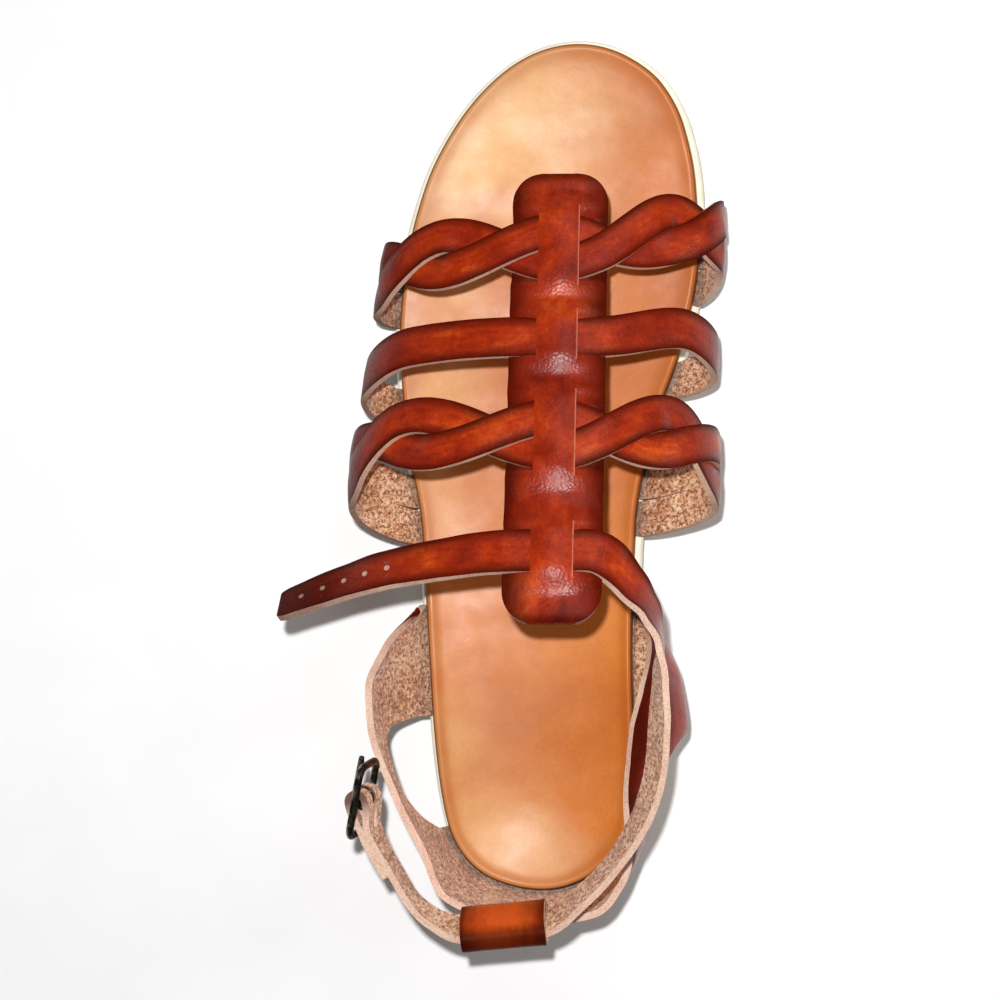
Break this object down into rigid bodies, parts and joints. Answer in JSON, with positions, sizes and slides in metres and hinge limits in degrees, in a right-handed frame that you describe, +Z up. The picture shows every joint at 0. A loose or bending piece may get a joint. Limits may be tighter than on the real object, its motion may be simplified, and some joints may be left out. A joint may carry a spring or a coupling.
{
  "type": "gladiator sandal",
  "caption": "Flat leather gladiator sandal for the left foot: centre strap, plain and twisted cross straps, cut-out heel counter and a buckled ankle strap, standing empty on its sole.",
  "frame": {"origin": "on the floor plane, under the middle of the heel's flat spot on the sole's underside", "axes": "+Y towards the toe, +Z up, +X to the medial side of this left shoe"},
  "size_m": [0.1126, 0.2363, 0.0847],
  "materials": {
    "strap_leather": "burnished cognac leather, darker at the edges, pale cut edges and suede inside",
    "footbed_leather": "smooth glossy tan moulded footbed",
    "foam": "cream foam, satin",
    "rubber": "matt grey-beige rubber",
    "antique_metal": "dark antique bronze, worn bright on its edges"
  },
  "bodies": {
    "root": {"outsole": "rubber", "midsole": "foam", "footbed": "footbed_leather", "upper": "strap_leather", "heel_counter": "strap_leather", "ankle_strap": "strap_leather"},
    "frame": {"buckle_frame": "antique_metal"},
    "prong": {"buckle_prong": "antique_metal"}
  },
  "joints": [
    {"name": "frame_swing", "type": "hinge", "parent": "root", "child": "frame", "pos_m": [-0.0404, 0.0008, 0.06214], "axis": [0.1779, 0.0781, -0.9809], "range_deg": [0, 30]},
    {"name": "prong_swing", "type": "hinge", "parent": "frame", "child": "prong", "pos_m": [-0.0404, 0.0008, 0.06214], "axis": [-0.1779, -0.0781, 0.9809], "range_deg": [0, 130]}
  ]
}
